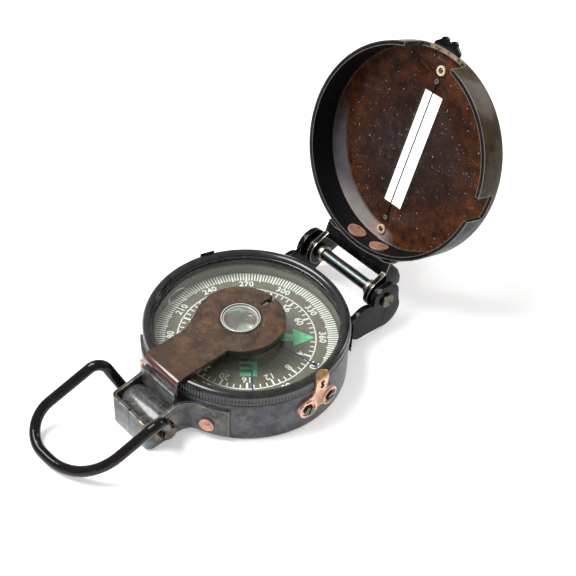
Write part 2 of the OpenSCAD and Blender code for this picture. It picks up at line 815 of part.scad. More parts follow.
module thumb_ring() {
    corners = [for (q = ring_plan) ring_point(q)];
    ends = [for (side = [-1, 1]) [side * (ring_eye_x + 0.1), -pin_y - 0.35, pin_z + 1.4]];
    color("black") difference() {
        union() {
            wire([ends[0], corners[0], corners[1], corners[2], corners[3], ends[1]], ring_bends, wire_r);
            for (side = [-1, 1])
                bar_x(side * ring_eye_x - ring_eye_t / 2, side * ring_eye_x + ring_eye_t / 2,
                      ring_eye_r, -pin_y, pin_z);
        }
        bar_x(-20, 20, eye_pin_r + run, -pin_y, pin_z);
        for (side = [-1, 1]) translate([side > 0 ? ring_eye_x + ring_eye_t / 2 : -ring_eye_x - ring_eye_t / 2 - 3,
            -pin_y - 3, pin_z - 3]) cube([3, 6, 5.4]);
        translate([-ring_eye_x + ring_eye_t / 2, -pin_y - 4, pin_z - 3]) cube([2 * ring_eye_x - ring_eye_t, 8, 9]);
    }
}

case_cup();
filler_plug();
filler_seal();
pivot_post();
capsule_gasket();
capsule_glass();
bezel_ring();
bezel_glass();
glass_retainer();
compass_card();
card_hub();
pivot_jewel();
card_magnets();
bezel_clip_near();
bezel_clip_far();
clip_screws();
hinge_bracket();
bracket_rivets();
hinge_screw();
hinge_tube();
hinge_washers();
hinge_spacers();
lid_cup();
lid_fork();
lid_rivets();
lid_tab();
sight_wire();
wire_eyelets();
dot_cups();
dot_beads();
eyepiece_frame();
frame_rivets();
eyepiece_pin();
eyepiece_leaf();
eyepiece_bush();
eyepiece_plate();
lens_ring();
eyepiece_lens();
thumb_ring();
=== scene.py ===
import json
import math
import random

import bmesh
import bpy
from mathutils import Matrix, Vector


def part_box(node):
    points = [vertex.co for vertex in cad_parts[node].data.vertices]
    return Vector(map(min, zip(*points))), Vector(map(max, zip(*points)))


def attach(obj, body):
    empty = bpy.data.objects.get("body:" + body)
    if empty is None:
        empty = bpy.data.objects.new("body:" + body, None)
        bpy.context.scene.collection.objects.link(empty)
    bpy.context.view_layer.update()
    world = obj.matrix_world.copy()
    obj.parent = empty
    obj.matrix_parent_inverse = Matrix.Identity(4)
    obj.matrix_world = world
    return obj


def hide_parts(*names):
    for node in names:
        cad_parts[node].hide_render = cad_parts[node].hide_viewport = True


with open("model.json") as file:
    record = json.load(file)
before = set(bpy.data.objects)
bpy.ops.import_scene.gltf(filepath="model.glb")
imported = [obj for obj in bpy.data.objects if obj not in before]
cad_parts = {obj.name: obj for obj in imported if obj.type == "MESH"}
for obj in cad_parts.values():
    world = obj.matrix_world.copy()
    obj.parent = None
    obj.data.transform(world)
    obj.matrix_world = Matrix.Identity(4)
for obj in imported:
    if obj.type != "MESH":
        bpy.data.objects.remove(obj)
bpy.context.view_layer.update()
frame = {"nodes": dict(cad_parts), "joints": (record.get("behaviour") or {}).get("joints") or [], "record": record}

scene = bpy.context.scene
MM = 0.001

# ---------------------------------------------------------------- camera, floor and light

CAMERA_AZIMUTH = 45.15           # degrees round the object; 0 looks along +Y
CAMERA_ELEVATION = 44.08
CAMERA_ROLL = -2.93
CAMERA_PLACE = (11.35, 19.94, 345.11)   # mm to the right of, above and back from the base's centre
CAMERA_LENS = 79.4               # focal length on a 36 mm sensor
FLOOR_SIZE = 3.0                 # metres
FLOOR_GLOW = 0.34                # light of its own, as a lit table gives
WORLD_LIGHT = 0.5


def add(name, data):
    """An object in the scene for this data."""
    obj = bpy.data.objects.new(name, data)
    scene.collection.objects.link(obj)
    return obj


def make_camera():
    azimuth, elevation = math.radians(CAMERA_AZIMUTH), math.radians(CAMERA_ELEVATION)
    back = Vector((
        math.sin(azimuth) * math.cos(elevation),
        -math.cos(azimuth) * math.cos(elevation),
        math.sin(elevation),
    ))
    right = Vector((math.cos(azimuth), math.sin(azimuth), 0))
    turn = Matrix.Rotation(-math.radians(CAMERA_ROLL), 3, back)
    right = turn @ right
    up = back.cross(right)
    place = (right * CAMERA_PLACE[0] + up * CAMERA_PLACE[1] + back * CAMERA_PLACE[2]) * MM
    camera = add("camera", bpy.data.cameras.new("camera"))
    camera.data.lens = CAMERA_LENS
    camera.data.sensor_width = 36
    camera.data.clip_start = 0.01
    axes = Matrix((right, up, back)).transposed()
    camera.matrix_world = Matrix.Translation(place) @ axes.to_4x4()
    scene.camera = camera


def make_floor():
    half = FLOOR_SIZE / 2
    mesh = bpy.data.meshes.new("floor")
    mesh.from_pydata([(-half, -half, 0), (half, -half, 0), (half, half, 0), (-half, half, 0)], [],
                     [(0, 1, 2, 3)])
    floor = add("floor", mesh)
    look = Look("floor_paper", (0.92, 0.92, 0.92), roughness=0.9, specular=0.0)
    look.set("Emission Color", (1, 1, 1))
    look.set("Emission Strength", FLOOR_GLOW)
    look.bump(look.noise(3, detail=3), 0.05, 0.05)
    floor.data.materials.append(look.material)


def make_softbox(name, direction, distance, size, power):
    """A square area lamp that faces the compass from that direction."""
    lamp = bpy.data.lights.new(name, "AREA")
    lamp.size = size
    lamp.energy = power
    obj = add(name, lamp)
    toward = Vector(direction).normalized()
    obj.location = toward * distance
    obj.rotation_euler = toward.to_track_quat("Z", "Y").to_euler()


def make_light():
    world = bpy.data.worlds.new("studio")
    world.use_nodes = True
    world.node_tree.nodes["Background"].inputs["Color"].default_value = (1, 0.985, 0.97, 1)
    world.node_tree.nodes["Background"].inputs["Strength"].default_value = WORLD_LIGHT
    scene.world = world
    make_softbox("key", (-0.36, -0.30, 0.88), 0.6, 0.32, 4.9)
    make_softbox("rim", (0.15, 0.85, 0.40), 0.7, 0.3, 1.6)
    scene.view_settings.view_transform = "Standard"


# ---------------------------------------------------------------- materials


class Look:
    """A procedural material being built. Sizes are in millimetres; places are the object's own."""

    def __init__(self, name, colour, metallic=0.0, roughness=0.4, specular=0.5, coat=0.0,
                 coat_roughness=0.1):
        self.material = bpy.data.materials.new(name)
        self.material.use_nodes = True
        self.tree = self.material.node_tree
        self.shader = self.tree.nodes["Principled BSDF"]
        self.set("Base Color", (*colour, 1))
        self.set("Metallic", metallic)
        self.set("Roughness", roughness)
        self.set("Specular IOR Level", specular)
        self.set("Coat Weight", coat)
        self.set("Coat Roughness", coat_roughness)
        self.place = self.node("ShaderNodeTexCoord").outputs["Object"]

    def node(self, kind, **settings):
        made = self.tree.nodes.new(kind)
        for key, value in settings.items():
            setattr(made, key, value)
        return made

    def feed(self, socket, value):
        """Links a socket to another, or gives it a plain value."""
        if isinstance(value, bpy.types.NodeSocket):
            self.tree.links.new(value, socket)
        elif isinstance(value, tuple) and len(value) == 3 and socket.type == "RGBA":
            socket.default_value = (*value, 1)
        else:
            socket.default_value = value

    def set(self, name, value):
        self.feed(self.shader.inputs[name], value)

    def math(self, operation, a, b=0.0):
        made = self.node("ShaderNodeMath", operation=operation)
        self.feed(made.inputs[0], a)
        self.feed(made.inputs[1], b)
        return made.outputs[0]

    def clamp(self, value):
        return self.ramp(value, 0, 1)

    def ramp(self, value, low, high):
        """0 below low, 1 above high, smooth between. low may be the larger one."""
        made = self.node("ShaderNodeMapRange", interpolation_type="SMOOTHSTEP")
        flip = low > high
        self.feed(made.inputs["Value"], value)
        made.inputs["From Min"].default_value = min(low, high)
        made.inputs["From Max"].default_value = max(low, high)
        made.inputs["To Min"].default_value = 1.0 if flip else 0.0
        made.inputs["To Max"].default_value = 0.0 if flip else 1.0
        return made.outputs[0]

    def span(self, value, low, high):
        """A 0 to 1 value moved to run from low to high."""
        made = self.node("ShaderNodeMapRange")
        self.feed(made.inputs["Value"], value)
        made.inputs["To Min"].default_value = low
        made.inputs["To Max"].default_value = high
        return made.outputs[0]

    def mix(self, share, a, b):
        made = self.node("ShaderNodeMix", data_type="RGBA")
        self.feed(made.inputs["Factor"], share)
        self.feed(made.inputs[6], a)
        self.feed(made.inputs[7], b)
        return made.outputs[2]

    def moved(self, offset=(0, 0, 0), stretch=(1, 1, 1), turn=(0, 0, 0)):
        """The object's place, moved, turned and stretched, in millimetres."""
        made = self.node("ShaderNodeMapping")
        self.feed(made.inputs["Vector"], self.place)
        made.inputs["Location"].default_value = offset
        made.inputs["Rotation"].default_value = [math.radians(a) for a in turn]
        made.inputs["Scale"].default_value = [s / MM for s in stretch]
        return made.outputs[0]

    def noise(self, size, detail=4.0, rough=0.6, twist=0.0, **where):
        """Cloudy noise whose patches are about size mm across."""
        made = self.node("ShaderNodeTexNoise")
        self.feed(made.inputs["Vector"], self.moved(**where))
        made.inputs["Scale"].default_value = 1 / size
        made.inputs["Detail"].default_value = detail
        made.inputs["Roughness"].default_value = rough
        made.inputs["Distortion"].default_value = twist
        return made.outputs["Fac"]

    def specks(self, size, share, **where):
        """1 in small round specks of mixed sizes, spread unevenly about size mm apart."""
        made = self.node("ShaderNodeTexVoronoi", feature="F1")
        self.feed(made.inputs["Vector"], self.moved(**where))
        made.inputs["Scale"].default_value = 1 / size
        parts = self.node("ShaderNodeSeparateColor")
        self.feed(parts.inputs[0], made.outputs["Color"])
        reach = self.math("MULTIPLY", self.math("POWER", parts.outputs[0], 3.0), share * 1.6)
        return self.ramp(self.math("SUBTRACT", made.outputs["Distance"], reach), 0.0, -share * 0.35)

    def scratches(self, length, width, turn, reach=0.045, seed=0.0):
        """1 along thin broken lines that run one way."""
        lines = self.noise(1.0, detail=2, rough=0.5, twist=0.4,
                           offset=(seed, seed, seed), stretch=(1 / length, 1 / width, 1 / width), turn=turn)
        thin = self.ramp(self.math("ABSOLUTE", self.math("SUBTRACT", lines, 0.5)), reach * 0.25, 0)
        broken = self.ramp(self.noise(length * 0.6, detail=2, offset=(seed + 3, 0, 0)), 0.52, 0.62)
        return self.math("MULTIPLY", thin, broken)

    def edge(self, radius, reach=0.12):
        """1 on sharp edges, falling to 0 about radius mm from them."""
        round_normal = self.node("ShaderNodeBevel", samples=4)
        round_normal.inputs["Radius"].default_value = radius * MM
        true_normal = self.node("ShaderNodeNewGeometry").outputs["Normal"]
        dot = self.node("ShaderNodeVectorMath", operation="DOT_PRODUCT")
        self.feed(dot.inputs[0], round_normal.outputs[0])
        self.feed(dot.inputs[1], true_normal)
        return self.ramp(dot.outputs["Value"], 1 - reach * 0.1, 1 - reach)

    def above(self, height, soft=0.1):
        """1 above this height (mm), 0 below it."""
        return self.ramp(self.axis("Z"), (height - soft) * MM, (height + soft) * MM)

    def axis(self, name):
        """The object's own X, Y or Z, in metres."""
        made = self.node("ShaderNodeSeparateXYZ")
        self.feed(made.inputs[0], self.place)
        return made.outputs[name]

    def turned_back(self, joint_name):
        """From here on, places are as they are with that joint at its upper limit."""
        joint = next(j for j in frame["joints"] if j["name"] == joint_name)
        anchor = Vector(joint["pos_m"])
        turn = Matrix.Rotation(math.radians(joint["range_deg"][1]), 3, Vector(joint["axis"]))
        made = self.node("ShaderNodeMapping")
        self.feed(made.inputs["Vector"], self.place)
        made.inputs["Location"].default_value = anchor - turn @ anchor
        made.inputs["Rotation"].default_value = turn.to_euler()
        self.place = made.outputs[0]

    def from_axis(self, centre=(0.0, 0.0)):
        """Distance from an upright line through centre (mm), in metres."""
        dx = self.math("SUBTRACT", self.axis("X"), centre[0] * MM)
        dy = self.math("SUBTRACT", self.axis("Y"), centre[1] * MM)
        return self.math("SQRT", self.math("ADD", self.math("MULTIPLY", dx, dx),
                                           self.math("MULTIPLY", dy, dy)))

    def bump(self, height, strength, depth):
        """Relief of depth mm where height goes from 0 to 1, on top of earlier relief."""
        made = self.node("ShaderNodeBump")
        made.inputs["Strength"].default_value = strength
        made.inputs["Distance"].default_value = depth * MM
        self.feed(made.inputs["Height"], height)
        before = self.shader.inputs["Normal"].links
        if before:
            self.feed(made.inputs["Normal"], before[0].from_socket)
        self.feed(self.shader.inputs["Normal"], made.outputs[0])


def worn_lacquer(name, dark, light, metal, patch=None, patch_size=4.0, patch_share=(0.5, 0.68), edge=0.35,
                 wear=0.5, mottle=3.0, roughness=(0.22, 0.45), coat=0.3, specular=0.3, dust=0.0,
                 grain=0.12, seed=0.0):
    """Old lacquer on metal: two mottled tones, bare metal along edges, specks and fine scratches."""
    look = Look(name, dark, specular=specular, coat=coat)
    spot = {"offset": (seed * 7, seed * 3, seed * 5)}
    cloud = look.noise(mottle, detail=7, rough=0.65, twist=0.4, **spot)
    colour = look.mix(look.ramp(cloud, 0.36, 0.66), dark, light)
    if patch:
        share = look.ramp(look.noise(patch_size, detail=7, rough=0.62, offset=(seed + 11, 4, 9)),
                          *patch_share)
        colour = look.mix(share, colour, patch)
    wear_and_sheen = look.ramp(look.noise(1.6, detail=4, rough=0.7, offset=(seed + 2, 8, 1)), 0.62 - 0.3 * wear, 0.7)
    bare = look.math("MULTIPLY", look.edge(edge), look.math("MULTIPLY", wear_and_sheen, min(1, 8 * wear)))
    chips = look.math("MULTIPLY", look.specks(2.2, 0.16 * wear, **spot), 0.7)
    lines = look.math("MULTIPLY", look.scratches(9, 0.5, (20, 30, 35), seed=seed), 0.5 * wear)
    bare = look.clamp(look.math("MAXIMUM", bare, look.math("MAXIMUM", chips, lines)))
    colour = look.mix(bare, colour, metal)
    if dust:
        motes = look.math("MULTIPLY", look.specks(0.9, 0.13, offset=(seed, 6, 2)), dust)
        colour = look.mix(motes, colour, (0.5, 0.45, 0.4))
    look.set("Base Color", colour)
    look.set("Metallic", look.math("MULTIPLY", bare, 0.9))
    low, high = roughness
    look.set("Roughness", look.span(look.noise(2.2, detail=5, offset=(seed, 1, 6)), low, high))
    look.bump(cloud, 0.25, 0.05)
    look.bump(look.noise(0.35, detail=3), grain, 0.02)
    return look


def plain_metal(name, colour, roughness=(0.2, 0.4), stain=(0.1, 0.08, 0.06), stained=0.35, grain=0.3,
                metallic=1.0, seed=0.0):
    """Bare metal: tarnish in cloudy patches, fine grain and scratches."""
    look = Look(name, colour)
    cloud = look.noise(1.8, detail=6, rough=0.65, offset=(seed * 5, seed, 2))
    share = look.math("MULTIPLY", look.ramp(cloud, 0.45, 0.7), stained)
    look.set("Base Color", look.mix(share, colour, stain))
    look.set("Metallic", look.math("SUBTRACT", metallic, look.math("MULTIPLY", share, 0.6)))
    low, high = roughness
    look.set("Roughness", look.span(cloud, low, high))
    look.bump(look.noise(grain, detail=4, rough=0.7), 0.2, 0.02)
    look.bump(look.scratches(5, 0.3, (10, 25, 40), seed=seed), 0.3, 0.01)
    return look


def clear_glass(name, tint=(0.97, 0.99, 0.98), dusty=0.06, gloss=0.5, seed=0.0):
    """Clear glass over something: light passes straight through, with gloss and dust on top."""
    look = Look(name, tint)
    through = look.node("ShaderNodeBsdfTransparent")
    look.feed(through.inputs["Color"], tint)
    dust = look.math("MAXIMUM", look.specks(2.6, 0.09, offset=(seed, 2, 1)),
                     look.math("MULTIPLY", look.noise(6, detail=5, offset=(seed, 5, 3)), 0.3))
    film = look.node("ShaderNodeBsdfDiffuse")
    look.feed(film.inputs["Color"], (0.7, 0.7, 0.66))
    body = look.node("ShaderNodeMixShader")
    look.feed(body.inputs[0], look.math("MULTIPLY", dust, dusty))
    look.feed(body.inputs[1], through.outputs[0])
    look.feed(body.inputs[2], film.outputs[0])
    mirror = look.node("ShaderNodeFresnel")
    mirror.inputs["IOR"].default_value = 1.45
    shine = look.node("ShaderNodeBsdfGlossy")
    shine.inputs["Roughness"].default_value = 0.04
    whole = look.node("ShaderNodeMixShader")
    look.feed(whole.inputs[0], look.math("MULTIPLY", mirror.outputs[0], gloss))
    look.feed(whole.inputs[1], body.outputs[0])
    look.feed(whole.inputs[2], shine.outputs[0])
    look.feed(look.tree.nodes["Material Output"].inputs["Surface"], whole.outputs[0])
    return look


BRASS = (0.62, 0.43, 0.17)
OLD_BRASS = (0.35, 0.25, 0.11)
COPPER = (0.72, 0.36, 0.22)
STEEL = (0.52, 0.53, 0.55)


def paint_over(look, share, colour, metallic=None):
    """Lays a colour over what the look already has, where share is 1."""
    before = look.shader.inputs["Base Color"].links[0].from_socket
    look.set("Base Color", look.mix(share, before, colour))
    if metallic is not None:
        before = look.shader.inputs["Metallic"].links[0].from_socket
        look.set("Metallic", look.math("MAXIMUM", before, look.math("MULTIPLY", share, metallic)))


def case_look():
    """Blue-grey lacquer outside and the olive-grey paint of the liquid's bowl inside."""
    look = worn_lacquer("case_lacquer", (0.034, 0.036, 0.043), (0.094, 0.100, 0.118), OLD_BRASS,
                        patch=(0.042, 0.034, 0.030), patch_size=3.4, patch_share=(0.48, 0.74), mottle=4,
                        wear=0.45, coat=0.14, specular=0.2, roughness=(0.22, 0.45), grain=0.5, dust=0.5)
    fine = look.ramp(look.noise(0.8, detail=6, rough=0.7, offset=(5, 5, 5)), 0.52, 0.72)
    paint_over(look, look.math("MULTIPLY", fine, 0.55), (0.030, 0.026, 0.026))
    # Darker in patches towards the bottom of the case.
    low_darkening = look.math("MULTIPLY",
                     look.ramp(look.noise(2.6, detail=7, rough=0.7, offset=(9, 3, 7)), 0.44, 0.60),
                     look.math("SUBTRACT", 1.0, look.above(3.6, 2.6)))
    paint_over(look, look.math("MULTIPLY", low_darkening, 0.8), (0.020, 0.016, 0.013))
    inside = look.ramp(look.from_axis(), 0.0261, 0.0260)
    paint_over(look, inside, (0.17, 0.162, 0.125))
    return look


SHEEN_CENTRE = (4.4, -4.0)       # painted reflection: the cover's floor is painted lit grey outside a circle with this centre
SHEEN_R = 28.4


def cover_look():
    """Red-brown lacquer on the cover's floor, black on its inner wall and bronze outside, with a painted
    reflection in a grey crescent near the floor's edge and a painted highlight on the rim's edge.
    """
    look = worn_lacquer("cover_lacquer", (0.010, 0.0036, 0.0026), (0.024, 0.0076, 0.0038),
                        (0.45, 0.33, 0.2), mottle=5, wear=0.3, coat=0.07, roughness=(0.2, 0.4),
                        specular=0.06, dust=0.9, grain=0.1, seed=2)
    look.turned_back("lid_hinge")
    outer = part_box("lid_cup")[1].x / MM
    radius = look.from_axis()
    glow = look.math("MULTIPLY", look.ramp(radius, 0.012, 0.026),
                     look.ramp(look.noise(3, detail=9), 0.30, 0.80))
    paint_over(look, look.math("MULTIPLY", glow, 0.85), (0.115, 0.031, 0.006))
    haze = look.math("MULTIPLY", look.ramp(look.from_axis((-6, 2)), 0.014, 0.002),
                     look.ramp(look.noise(2, detail=9), 0.3, 0.7))
    paint_over(look, look.math("MULTIPLY", haze, 0.6), (0.038, 0.027, 0.030))
    grime = look.ramp(look.noise(0.7, detail=6, rough=0.75, offset=(2, 9, 4)), 0.54, 0.72)
    paint_over(look, look.math("MULTIPLY", grime, 0.6), (0.010, 0.004, 0.003))
    where = look.ramp(look.noise(4, detail=3), 0.44, 0.62)
    for gap, share, strength in ((0.38, 0.20, 0.55), (0.95, 0.10, 0.85)):
        fine = look.math("MULTIPLY", look.specks(gap, share, offset=(1, 2, gap)), where)
        paint_over(look, look.math("MULTIPLY", fine, strength), (0.46, 0.38, 0.31))
    hairs = look.scratches(9, 0.25, (0, 0, 62), reach=0.03, seed=8)
    paint_over(look, look.math("MULTIPLY", hairs, 0.25), (0.36, 0.30, 0.26))
    # Painted reflection: a grey crescent by one side of the floor, paler where Y is larger, stands for light
    # mirrored in the glossy floor.
    sheen_edge = look.ramp(look.from_axis(SHEEN_CENTRE), (SHEEN_R - 0.2) * MM, (SHEEN_R + 1.2) * MM)
    along = look.math("MULTIPLY", look.ramp(look.axis("Y"), -0.006, 0.012),
                      look.ramp(look.axis("X"), 0.006, -0.002))
    wear_and_sheen = look.math("MULTIPLY", sheen_edge, along)
    cloud = look.noise(3.5, detail=7, offset=(4, 4, 4), stretch=(1, 1, 0.4))
    lit = look.mix(look.ramp(look.axis("Y"), 0.016, 0.027), (0.085, 0.095, 0.105), (0.34, 0.33, 0.32))
    paint_over(look, look.math("MULTIPLY", wear_and_sheen, look.span(cloud, 0.45, 1.0)), lit)
    # Painted reflection, tinted pink near the lower bead cup.
    warm_sheen = look.math("MULTIPLY", wear_and_sheen, look.ramp(look.from_axis((-1, 26.5)), 0.005, 0.001))
    paint_over(look, look.math("MULTIPLY", warm_sheen, 0.6), (0.35, 0.22, 0.17))
    wall = look.ramp(radius, (outer - 1.45) * MM, (outer - 1.3) * MM)
    paint_over(look, wall, (0.006, 0.006, 0.007))
    skin = look.ramp(radius, (outer - 0.5) * MM, (outer - 0.1) * MM)
    brushed = look.noise(3, detail=8, rough=0.65)
    bronze = look.mix(look.ramp(brushed, 0.3, 0.7), (0.020, 0.013, 0.006), (0.058, 0.038, 0.017))
    steel = look.mix(look.ramp(brushed, 0.3, 0.7), (0.022, 0.022, 0.022), (0.085, 0.082, 0.078))
    paint_over(look, skin, look.mix(look.ramp(look.axis("Y"), -0.008, 0.006), bronze, steel))
    # Painted highlight: a thin pale line along the edge of the cover's rim.
    rim = look.math("MULTIPLY", look.edge(0.4), look.ramp(radius, (outer - 1.6) * MM, (outer - 1.4) * MM))
    paint_over(look, look.math("MULTIPLY", rim, 0.75), (0.34, 0.32, 0.28), metallic=0.5)
    within = look.ramp(look.math("ABSOLUTE", look.axis("X")), 0.0085, 0.0065)
    mouth = look.math("MULTIPLY", look.ramp(radius, (outer - 1.1) * MM, (outer - 0.9) * MM), within)
    mouth = look.math("MULTIPLY", mouth, look.ramp(look.axis("Y"), -0.020, -0.025))
    mouth = look.math("MULTIPLY", mouth, look.ramp(look.noise(2.2, detail=7, offset=(8, 1, 1)), 0.36, 0.62))
    paint_over(look, mouth, (0.34, 0.27, 0.17), metallic=0.6)
    return look


def bezel_look():
    """Black lacquer, grey on the crests of the knurl, partly rubbed wear and partly painted glints."""
    look = worn_lacquer("bezel_lacquer", (0.007, 0.007, 0.008), (0.020, 0.020, 0.021), (0.30, 0.29, 0.27),
                        wear=0.3, coat=0.5, roughness=(0.15, 0.3), seed=1)
    # Grey on sharp edges: rubbed wear, and painted glints on the knurl.
    paint_over(look, look.math("MULTIPLY", look.edge(0.2), 0.6), (0.20, 0.20, 0.21))
    return look


def lens_y():
    """Y of the lens's axis, in mm."""
    low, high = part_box("lens_ring")
    return (low.y + high.y) / 2 / MM


def lens_ring_look():
    """Bright plating with a dark line in the step between the ring's two edges."""
    look = plain_metal("bright_plate", (0.86, 0.86, 0.84), roughness=(0.15, 0.3), metallic=0.7,
                       stain=(0.30, 0.28, 0.25), stained=0.6, seed=6)
    inner = (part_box("eyepiece_lens")[1].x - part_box("eyepiece_lens")[0].x) / 2
    outer = (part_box("lens_ring")[1].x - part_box("lens_ring")[0].x) / 2
    away = look.from_axis((0, lens_y()))
    dark = look.ramp(look.math("ABSOLUTE", look.math("SUBTRACT", away, (inner + outer) / 2)), 0.0002, 0.0001)
    paint_over(look, look.math("MULTIPLY", dark, 0.8), (0.06, 0.06, 0.055))
    return look


def eyepiece_look():
    """Brown lacquer rubbed thin on the plate's face, near black round its edges."""
    look = worn_lacquer("eyepiece_lacquer", (0.040, 0.023, 0.015), (0.092, 0.053, 0.032), OLD_BRASS,
                        patch=(0.150, 0.074, 0.030), patch_size=6, patch_share=(0.46, 0.76), mottle=2.6,
                        wear=0.35, coat=0.3, roughness=(0.24, 0.42), grain=0.9, dust=0.35, seed=5)
    low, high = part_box("eyepiece_plate")
    top, fold = high.z / MM, low.y / MM
    dents = look.noise(0.6, detail=6, rough=0.75, offset=(3, 1, 2))
    paint_over(look, look.math("MULTIPLY", look.ramp(dents, 0.53, 0.66), 0.8), (0.016, 0.009, 0.006))
    look.bump(dents, 0.5, 0.10)
    arm = look.ramp(look.axis("Y"), (fold + 16) * MM, (fold + 2) * MM)
    paint_over(look, look.math("MULTIPLY", arm, 0.6), (0.036, 0.019, 0.013))
    round_glass = look.ramp(look.from_axis((0, lens_y())), 0.0064, 0.0053)
    paint_over(look, look.math("MULTIPLY", round_glass, 0.75), (0.014, 0.009, 0.007))
    paint_over(look, look.math("MULTIPLY", look.edge(0.5), 0.7), (0.018, 0.011, 0.009))
    sides = look.ramp(look.axis("Z"), (top - 0.03) * MM, (top - 0.14) * MM)
    paint_over(look, sides, (0.008, 0.0065, 0.006))
    band = look.math("MULTIPLY", look.ramp(look.axis("Y"), (fold + 1.3) * MM, (fold + 1.1) * MM),
                     look.above(top - 2.3, 0.3))
    paint_over(look, band, (0.060, 0.013, 0.008))
    look.set("Coat Weight", look.span(look.ramp(look.axis("Y"), (fold + 1.6) * MM, (fold + 1.2) * MM),
                                      0.3, 1.0))
    return look


def frame_look():
    """Dark lacquer worn to brass, with the line where the strip's two ends meet."""
    look = worn_lacquer("frame_lacquer", (0.016, 0.018, 0.021), (0.090, 0.096, 0.108), BRASS,
                        patch=(0.11, 0.085, 0.05), patch_size=3, patch_share=(0.6, 0.75), wear=1.0,
                        edge=0.4, coat=0.3, roughness=(0.2, 0.42), grain=0.4, seed=4)
    middle = look.ramp(look.math("ABSOLUTE", look.axis("X")), 0.42 * MM, 0.26 * MM)
    paint_over(look, middle, (0.004, 0.004, 0.004))
    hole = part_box("eyepiece_pin")
    dy = look.math("SUBTRACT", look.axis("Y"), (hole[0].y + hole[1].y) / 2)
    dz = look.math("SUBTRACT", look.axis("Z"), (hole[0].z + hole[1].z) / 2)
    away = look.math("SQRT", look.math("ADD", look.math("MULTIPLY", dy, dy), look.math("MULTIPLY", dz, dz)))
    worn = look.math("MULTIPLY", look.ramp(away, 0.0044, 0.0022),
                     look.ramp(look.noise(0.9, detail=5), 0.40, 0.54))
    paint_over(look, worn, (0.40, 0.28, 0.13), metallic=0.9)
    return look


def fork_look():
    """Black lacquer worn through to pale metal all along the edges, the pale line partly a painted highlight."""
    look = worn_lacquer("fork_lacquer", (0.002, 0.002, 0.0022), (0.006, 0.006, 0.007), (0.40, 0.36, 0.28),
                        wear=0.5, edge=0.3, coat=0.2, specular=0.05, roughness=(0.12, 0.28), grain=0.06,
                        seed=20)
    # Pale metal on the edges: real wear, and a painted highlight along the web's edge.
    worn = look.ramp(look.noise(2.5, detail=5, offset=(1, 7, 2)), 0.18, 0.45)
    paint_over(look, look.math("MULTIPLY", look.edge(0.5), look.math("MULTIPLY", worn, 0.9)),
               (0.52, 0.47, 0.36), metallic=0.7)
    return look


def hub_look():
    """Cream enamel with a green-tinted middle."""
    look = worn_lacquer("hub_paint", (0.62, 0.56, 0.38), (0.74, 0.68, 0.50), (0.3, 0.45, 0.3), wear=0.2,
                        coat=0.0, roughness=(0.5, 0.7), seed=10)
    paint_over(look, look.math("MULTIPLY", look.ramp(look.from_axis(), 0.0021, 0.0014), 0.8),
               (0.30, 0.60, 0.46))
    return look


def clip_look():
    """Copper, browned with ochre on the tip that lies over the bezel, brighter on its edges."""
    look = plain_metal("clip_copper", (0.70, 0.44, 0.33), roughness=(0.25, 0.5), stain=(0.30, 0.15, 0.09),
                       stained=0.8, seed=15)
    tip = look.ramp(look.noise(1.5, detail=5, offset=(6, 2, 8)), 0.3, 0.62)
    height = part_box("bezel_clip_near")[1].z / MM
    paint_over(look, look.math("MULTIPLY", look.above(height - 1.7, 0.9), look.span(tip, 0.45, 1)),
               (0.36, 0.20, 0.055))
    paint_over(look, look.math("MULTIPLY", look.edge(0.3), 0.8), (0.88, 0.66, 0.52))
    return look


def lid_rivet_look():
    """Dull copper heads with dark dents and a light rim."""
    look = plain_metal("rivet_copper", (0.66, 0.33, 0.23), roughness=(0.3, 0.55),
                       stain=(0.12, 0.05, 0.03), stained=1.0, grain=0.5, metallic=0.7, seed=16)
    dents = look.ramp(look.noise(0.5, detail=5, rough=0.7, offset=(7, 7, 1)), 0.56, 0.66)
    paint_over(look, look.math("MULTIPLY", dents, 0.7), (0.05, 0.025, 0.02))
    paint_over(look, look.math("MULTIPLY", look.edge(0.4), 0.9), (0.90, 0.72, 0.60))
    return look


